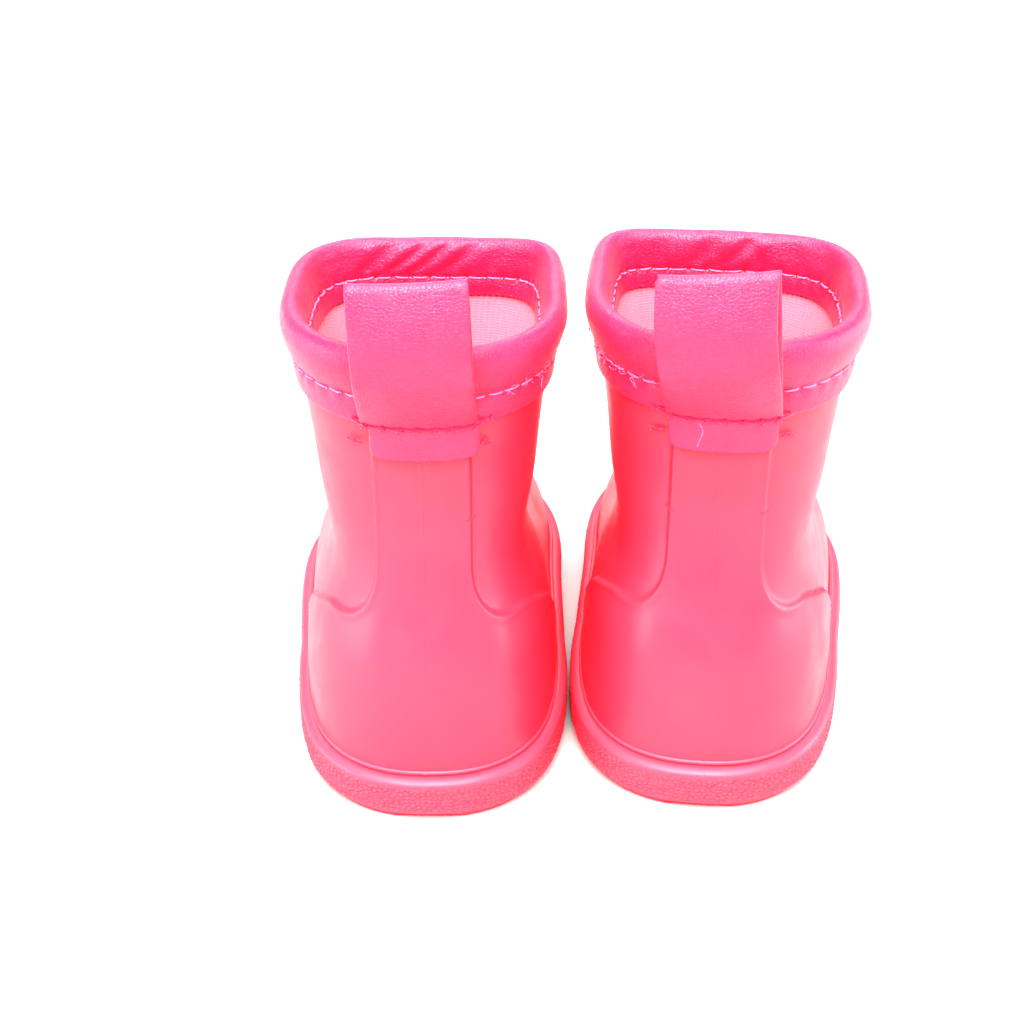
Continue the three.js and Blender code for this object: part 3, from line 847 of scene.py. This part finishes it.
# Soft folds in the padding: place round the rim in degrees from the front, width, slant, depth.
FOLDS = {
    "left": [
        (-24, 2.8, -0.5, 0.3), (-9, 2.4, -0.9, 0.55), (3, 2.0, -1.0, 0.65),
        (13, 2.0, -1.1, 0.65), (25, 2.4, -0.9, 0.4),
    ],
    "right": [
        (-12, 2.6, 0.7, 0.4), (2, 2.2, 0.8, 0.45), (14, 2.4, -0.6, 0.35),
        (30, 3.0, -0.5, 0.25), (-28, 3, 0.5, 0.25),
    ],
}


def seam_line(height, distance, count=2880):
    """A fine closed line round the shaft at one height, its outward directions and its angles."""
    angles = columns(count)
    line = shaft_point(angles, np.full(count, float(height)), np.full(count, float(distance)))
    on_shell = np.stack([line[:, 0], line[:, 1], np.minimum(line[:, 2], SHELL_TOP)], -1)
    return drop_rim(line), normals(on_shell, level=True), angles


def seam_phase(angles, height):
    """How many stitches lie between the front and these angles, along a seam at one height."""
    line, _, fine = seam_line(height, 0)
    closed = np.vstack([line, line[:1]])
    run = np.concatenate([[0], np.cumsum(np.linalg.norm(np.diff(closed, axis=0), axis=1))])
    stitches = round(run[-1] / SEAM_PITCH)
    return np.interp(angles, np.append(fine, 2 * np.pi), run) / run[-1] * stitches, stitches


def collar(side):
    rng = np.random.default_rng(11 if side == "left" else 12)
    shown = spline(COLLAR_SHOWN, 3)
    section = np.vstack([shown, COLLAR_HIDDEN])
    angles = columns(560)
    rise = np.roll(section, -1, 0) - np.roll(section, 1, 0)
    facing = np.stack([rise[:, 1], -rise[:, 0]], -1)
    facing /= np.linalg.norm(facing, axis=1)[:, None]
    if (facing[8] * (1, 0)).sum() < 0:
        facing = -facing
    d, z = section[:, 0], section[:, 1]
    visible = np.arange(len(section)) < len(shown)
    outer = visible & (d > -1.6)
    inner = visible & (d <= -1.6)

    swell = np.zeros((len(angles), len(section)))
    for seam, zone, depth in ((OUTER_SEAM, outer, 0.16), (INNER_SEAM, inner, 0.2)):
        phase, _ = seam_phase(angles, seam)
        pinch = np.cos(2 * np.pi * phase)[:, None] * bump(z - seam, 2.4) * zone
        wander = np.sin(2 * np.pi * phase / 3.7 + rng.uniform(0, 6))[:, None] * bump(z - seam, 4.0) * zone
        swell -= depth * pinch - 0.35 * depth * wander
    turn = (np.degrees(angles) + 180) % 360 - 180
    padding = smooth_step(z, INNER_SEAM + 0.5, INNER_SEAM + 4) * (1 - smooth_step(z, 137, 140)) * inner
    for at, width, slant, depth in FOLDS[side]:
        q = ((turn - at) * 0.62)[:, None] - slant * (z - 132)
        swell += depth * padding * (0.6 * bump(q - 1.7 * width, width * 1.2) - bump(q, width))
    for _ in range(5):
        waves, phase, size = rng.integers(3, 17), rng.uniform(0, 6.28), rng.uniform(0.03, 0.08)
        swell += size * np.sin(angles * waves + phase)[:, None] * np.sin(0.35 * z + 2 * phase) * visible

    distance = d + swell * facing[:, 0]
    height = z + swell * facing[:, 1]
    around = np.broadcast_to(angles[:, None], distance.shape)
    points = drop_rim(shaft_point(around, height, distance))
    faces = grid(len(angles), len(section), close_rows=True)
    piece = add_piece(
        f"{side}_collar", points, faces, side, f"{side}_boot",
        LEATHER, [f"{side}_collar_cover"]
    )


# ---- Stitches -----------------------------------------------------------------------------------
def stitch(start, end, out, rng, radius=THREAD / 2, lift=0.3, sink=0.35):
    """One lock stitch: a short thread that comes up, lies along the seam and dives in again."""
    t = np.linspace(0, 1, 9)[:, None]
    height = lift * np.sin(np.pi * t) ** 0.6 - sink * (1 - np.sin(np.pi * t) ** 0.35)
    sideways = np.cross(out, end - start)
    sideways /= np.linalg.norm(sideways)
    skew = rng.uniform(-0.22, 0.22)
    path = start + (end - start) * t + out * height + sideways * skew * (t - 0.5) * 2
    return tube(path, radius)


def knot(at, out, rng, size=0.42):
    """The small bright bead where two threads lock in a hole."""
    turn = rng.uniform(0, np.pi)
    sideways = np.array([math.cos(turn), math.sin(turn), 0.4])
    path = np.stack([at - sideways * size * 0.5, at + out * 0.28, at + sideways * size * 0.5])
    return tube(spline(path, 3), size * 0.62)


def collar_stitches(side, name, seam, distance, slot_node, knots):
    rng = np.random.default_rng(abs(hash_of(side + name)))
    line, out, angles = seam_line(seam, distance)
    if distance < 0:
        out = -out
    phase, stitches = seam_phase(angles, seam)
    parts = []
    for k in range(stitches):
        begin, finish = np.interp([k + 0.12, k + 0.88], phase, np.arange(len(phase)))
        i, j = int(begin), int(finish)
        m = (i + j) // 2
        parts.append(stitch(line[i], line[j], out[m], rng, radius=0.27, lift=0.22))
        if rng.uniform() < knots:
            hole = int(np.interp(k + 0.5 * 0.04, phase, np.arange(len(phase))))
            parts.append(knot(line[hole] + out[hole] * 0.05, out[hole], rng))
    points, faces = join(parts)
    add_piece(f"{side}_{name}", points, faces, side, f"{side}_boot", THREAD_PINK, [slot_node])


def hash_of(text):
    """A number for a name, the same in every run."""
    return sum((i + 1) * ord(c) for i, c in enumerate(text))


# ---- Pull strap ---------------------------------------------------------------------------------
# Middle line of the strap, from the flap's inner end up the front of the loop, over its top and down
# to the flap's outer end: distance behind the shaft, height, how much of the shaft's curve it keeps.
STRAP_PATH = [
    (1.55, 107.8, 1), (1.6, 112, 1), (1.7, 116, 1), (1.95, 119, 1), (2.6, 121.5, 1), (3.3, 125, 1),
    (3.4, 131, 0.9), (3.35, 137, 0.8), (3.3, 145, 0.6), (3.6, 152, 0.5), (4.5, 157.2, 0.5),
    (5.5, 160.1, 0.5), (6.5, 161.2, 0.5), (7.6, 160.4, 0.5), (8.8, 157.4, 0.5), (10.2, 152, 0.5),
    (10.9, 145, 0.6), (10.1, 137, 0.8), (8.3, 129.5, 1), (6.3, 124, 1), (4.6, 120.8, 1),
    (3.25, 118.9, 1), (2.95, 117.6, 1), (3.0, 116, 1), (2.85, 112, 1), (2.75, 107.5, 1),
]
STRAP_THICKNESS = 1.0
FLAP_WIDTH = 0.95  # of the loop's width
FLAP_SHIFT = {"left": 1.2, "right": 0}  # how far the flap sits off the loop's middle
STRAP_CORNER = 3.2  # radius of the flap's lower corners


def shaft_rear_at(x, z):
    height = np.minimum(z, SHELL_TOP)
    start = np.stack([x, (shaft_rear(height) + shaft_front(height)) / 2, height], -1)
    return cast(start, np.broadcast_to(np.array([0, -1.0, 0]), start.shape))[..., 1]


def strap_places(x, behind, z, crown, side, loose):
    """Points of the strap, leaning with the loop above its seam."""
    middle = shaft_rear_at(np.zeros_like(x), z)
    y = middle + (shaft_rear_at(x, z) - middle) * crown - behind
    tilt = math.tan(math.radians(LEAN[side]))
    rise = np.maximum(0, z - LOOP_SEAM)
    share = np.minimum(1, rise / 12)
    return np.stack([x + tilt * rise + loose, y, z - tilt * x * share], -1)


def strap(side):
    path = spline(STRAP_PATH, 9)
    run = np.concatenate([[0], np.cumsum(np.linalg.norm(np.diff(path[:, :2], axis=0), axis=1))])
    at = np.linspace(0, run[-1], round(run[-1] / 0.55))
    path = np.stack([np.interp(at, run, path[:, k]) for k in range(3)], -1)
    along = np.gradient(path[:, :2], axis=0)
    along /= np.linalg.norm(along, axis=1)[:, None]
    facing = np.stack([-along[:, 1], along[:, 0]], -1)

    half = STRAP_THICKNESS / 2
    flat_half = LOOP_WIDTH / 2 - 0.45
    across = np.linspace(-flat_half, flat_half, 33)
    turn = np.radians([60, 25, -25, -60])
    right_edge = [(flat_half + 0.45 * math.cos(a), half * math.sin(a)) for a in turn]
    left_edge = [(-x, -h) for x, h in right_edge]
    ring = [(x, half) for x in across] + right_edge + [(x, -half) for x in across[::-1]] + left_edge
    ring = np.array(ring)

    from_end = np.minimum(at, at[-1] - at)
    short = np.clip(STRAP_CORNER - from_end, 0, STRAP_CORNER)
    narrow = STRAP_CORNER - np.sqrt(np.maximum(0, STRAP_CORNER**2 - short**2))
    width = (LOOP_WIDTH / 2 - narrow) / (LOOP_WIDTH / 2)
    flap = (path[:, 1] < LOOP_SEAM - 1)[:, None]
    x = ring[None, :, 0] * width[:, None] * np.where(flap, FLAP_WIDTH, 1)
    x = x - np.where(flap, FLAP_SHIFT[side], 0)
    lift = np.broadcast_to(ring[None, :, 1], x.shape).copy()

    outer = (at > at[-1] / 2)[:, None]
    z_row = path[:, 1][:, None]
    phase = x / 4.4
    pucker = np.cos(2 * np.pi * phase) * bump(z_row - 118.4, 1.6) * outer
    edge_curl = 0.18 * smooth_step(np.abs(x), 10.5, 14.7) * outer * smooth_step(z_row, 121, 126)
    sag = 0.35 * np.sin(x * 0.16 + z_row * 0.09) * smooth_step(z_row, 124, 132) * outer
    sag = sag * bump((z_row - 142) / 12, 1)
    lift = lift - 0.16 * pucker + edge_curl + sag

    behind = path[:, 0:1] + facing[:, 0:1] * lift
    z = path[:, 1:2] + facing[:, 1:2] * lift
    crown = np.broadcast_to(path[:, 2:3], x.shape)
    loose = np.zeros_like(x)
    if side == "right":
        loose = -1.3 * outer * bump((z_row - 146) / 16, 1) * np.ones_like(x)
    points = strap_places(x, behind, z, crown, side, loose)
    flat = np.stack([x * MM, np.broadcast_to(at[:, None], x.shape) * MM, lift * MM], -1)
    count = points.shape[1]
    faces = grid(len(points), count) + reverse(rungs(0, count)) + rungs((len(points) - 1) * count, count)
    nodes = [f"{side}_loop_base", f"{side}_pull_loop"]
    piece = add_piece(
        f"{side}_pull_strap", points, faces, side, None, STRAP_LEATHER, nodes, flat
    )
    hinge = Vector(JOINTS[f"{side}_loop_tilt"]["pos_m"])
    start, end = hinge.copy(), hinge.copy()
    start.z = (LOOP_SEAM - 0.6) * MM
    end.z = (LOOP_SEAM + 3.5) * MM
    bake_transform(piece)


def loop_stitches(side):
    """The seam across the strap, running a little past both edges, and loose ends of the hidden one."""
    rng = np.random.default_rng(hash_of(side + "loop"))
    height = LOOP_SEAM - 0.7
    parts = []
    pitch = 4.4
    for k in range(-4, 4):
        middle = (k + 0.5) * pitch
        ends = []
        for x in (middle - pitch * 0.46, middle + pitch * 0.46):
            over = smooth_step(LOOP_WIDTH / 2 + 0.4 - abs(x), -0.4, 0.4)
            behind = 1.5 + (3.62 - 1.5) * over
            y = shaft_rear_at(np.array([x]), np.array([height]))[0] - behind
            ends.append(np.array([x, y, height + rng.uniform(-0.12, 0.12)]))
        out = normals(np.array([(ends[0] + ends[1]) / 2 + [0, 3, 0]]), level=True)[0]
        parts.append(stitch(ends[0], ends[1], out, rng, radius=0.42, lift=0.3))
        for slant in (-1, 1):
            across = np.array([1.0, 0, 0.85 * slant])
            centre = ends[0] + out * 0.12
            row = spline(np.stack([centre - across, centre + out * 0.3, centre + across]), 3)
            parts.append(tube(row, 0.3))
    for x in (-1, 1):
        for _ in range(3):
            start = np.array([x * (LOOP_WIDTH / 2 + 0.2), 0, 110.6 + rng.uniform(-0.3, 0.3)])
            tail = start + np.array([x * rng.uniform(2.2, 4.2), 0, rng.uniform(-1.3, 0.6)])
            middle = (start + tail) / 2 + [0, 0, rng.uniform(-0.7, 0.7)]
            row = spline(np.stack([start, middle, tail]), 5)
            row[:, 1] = shaft_rear_at(row[:, 0], row[:, 2]) - rng.uniform(0.9, 1.3)
            parts.append(tube(row, 0.17, sides=6))
    points, faces = join(parts)
    # Its darker thread carries painted shade from the strap above as well as the thread's own deeper
    # colour.
    add_piece(
        f"{side}_loop_stitches", points, faces, side, f"{side}_boot",
        THREAD_DEEP_SHADED, [f"{side}_loop_seam"]
    )


def loose_fibres(side):
    """Fine ends of thread that stand out of the outer seam."""
    rng = np.random.default_rng(hash_of(side + "fibres"))
    spread = {"left": (-150, -60, 26), "right": (-165, -75, 44)}[side]
    parts = []
    for _ in range(spread[2]):
        angle = math.radians(rng.uniform(spread[0], spread[1]))
        z = OUTER_SEAM + rng.uniform(-1.5, 1.2)
        root = drop_rim(shaft_point(np.array([angle]), np.array([z]), np.array([1.1])))[0]
        out = normals(root[None], level=True)[0]
        along = np.array([out[1], -out[0], 0])
        size = rng.uniform(1.2, 4.0)
        first = root + out * size * 0.25 + along * rng.uniform(-0.5, 0.5) * size
        last = first + out * size * rng.uniform(-0.05, 0.3) + along * rng.uniform(-0.6, 0.6) * size
        last = last + np.array([0, 0, rng.uniform(-0.8, 0.8) * size])
        parts.append(tube(spline(np.stack([root, first, last]), 5), 0.085, sides=5))
    if side == "right":
        row = spline([(-6.5, 0, 117.4), (-5.2, 0, 114.5), (-6.0, 0, 111), (-6.4, 0, 109)], 5)
        row[:, 1] = shaft_rear_at(row[:, 0], row[:, 2]) - 3.45
        parts.append(tube(row, 0.12, sides=6))
    points, faces = join(parts)
    add_piece(f"{side}_fibres", points, faces, side, f"{side}_boot", THREAD_PINK)


# ---- Both boots ---------------------------------------------------------------------------------
for side in ("left", "right"):
    shell(side)
    lining(side)
    outsole(side)
    tread(side)
    insole(side)
    collar(side)
    collar_stitches(side, "outer_stitches", OUTER_SEAM, 0.78, f"{side}_collar_outer_seam", 0.45)
    collar_stitches(side, "inner_stitches", INNER_SEAM, -4.05, f"{side}_collar_inner_seam", 0.5)
    strap(side)
    loop_stitches(side)
    loose_fibres(side)
    core = frame["nodes"][f"{side}_collar_foam"]
    core.data.materials.clear()
    core.data.materials.append(FOAM)


# ---- Floor, light and camera --------------------------------------------------------------------
FLOOR_HALF = 6.0
FLOOR_GAP = 0.0002  # below the soles, so that the two faces don't fight


def add_floor():
    half, z = FLOOR_HALF, cad_box[0].z - FLOOR_GAP
    corners = [(-half, -half, z), (half, -half, z), (half, half, z), (-half, half, z)]
    mesh = bpy.data.meshes.new("floor")
    mesh.from_pydata(corners, [], [(0, 1, 2, 3)])
    mesh.materials.append(paper("pale_paper"))
    floor = bpy.data.objects.new("floor", mesh)
    bpy.context.scene.collection.objects.link(floor)


def add_softbox(name, place_at, look_at, size, watts):
    light = bpy.data.lights.new(name, "AREA")
    light.shape = "RECTANGLE"
    light.size, light.size_y = size
    light.energy = watts
    lamp = bpy.data.objects.new(name, light)
    bpy.context.scene.collection.objects.link(lamp)
    lamp.location = place_at
    lamp.rotation_euler = (Vector(look_at) - Vector(place_at)).to_track_quat("-Z", "Y").to_euler()


def add_overhead(direction, strength, spread):
    """A very wide soft light from one direction, even over the whole floor."""
    light = bpy.data.lights.new("overhead", "SUN")
    light.energy = strength
    light.angle = math.radians(spread)
    lamp = bpy.data.objects.new("overhead", light)
    bpy.context.scene.collection.objects.link(lamp)
    lamp.rotation_euler = Vector(direction).to_track_quat("Z", "Y").to_euler()


def add_world(strength):
    world = bpy.data.worlds.new("studio")
    world.use_nodes = True
    background = world.node_tree.nodes["Background"]
    background.inputs["Color"].default_value = (1, 1, 1, 1)
    background.inputs["Strength"].default_value = strength
    bpy.context.scene.world = world


CAMERA_AT = (-0.01693, -0.51982, 0.37537)  # behind the heels and above them
CAMERA_DOWN = 32.26
CAMERA_TURN = 0.24
CAMERA_ROLL = 0.17
LENS = 72.65


def add_camera():
    data = bpy.data.cameras.new("camera")
    data.lens = LENS
    data.sensor_width = 36
    data.clip_start, data.clip_end = 0.01, 50
    camera = bpy.data.objects.new("camera", data)
    bpy.context.scene.collection.objects.link(camera)
    turn = Matrix.Rotation(math.radians(CAMERA_TURN), 4, "Z")
    tilt = Matrix.Rotation(math.radians(90 - CAMERA_DOWN), 4, "X")
    roll = Matrix.Rotation(math.radians(CAMERA_ROLL), 4, "Z")
    camera.matrix_world = Matrix.Translation(CAMERA_AT) @ turn @ tilt @ roll
    bpy.context.scene.camera = camera


SHAFTS = (0, 0, 0.07)  # what the softboxes look at
COLLARS = (0, 0, 0.1)
# Each softbox: place, what it looks at, width and height, watts.
SOFTBOXES = {
    "left_softbox": ((-0.85, -0.2, 0.2), SHAFTS, (0.6, 0.35), 4),
    "right_softbox": ((0.85, 0.0, 0.2), SHAFTS, (0.6, 0.35), 4.5),
    "back_softbox": ((-0.08, -1.05, 1.15), SHAFTS, (1.3, 0.7), 34),
    "front_softbox": ((0, 1.15, 1.0), COLLARS, (1.6, 0.6), 14),
}
WORLD_STRENGTH = 0.3
OVERHEAD = {"direction": (-0.03, -0.2, 1), "strength": 4.1, "spread": 60}

add_floor()
add_world(WORLD_STRENGTH)
for name, (place_at, look_at, size, watts) in SOFTBOXES.items():
    add_softbox(name, place_at, look_at, size, watts)
add_overhead(**OVERHEAD)
add_camera()
bpy.context.scene.view_settings.view_transform = "Standard"
bpy.context.scene.view_settings.look = "High Contrast"
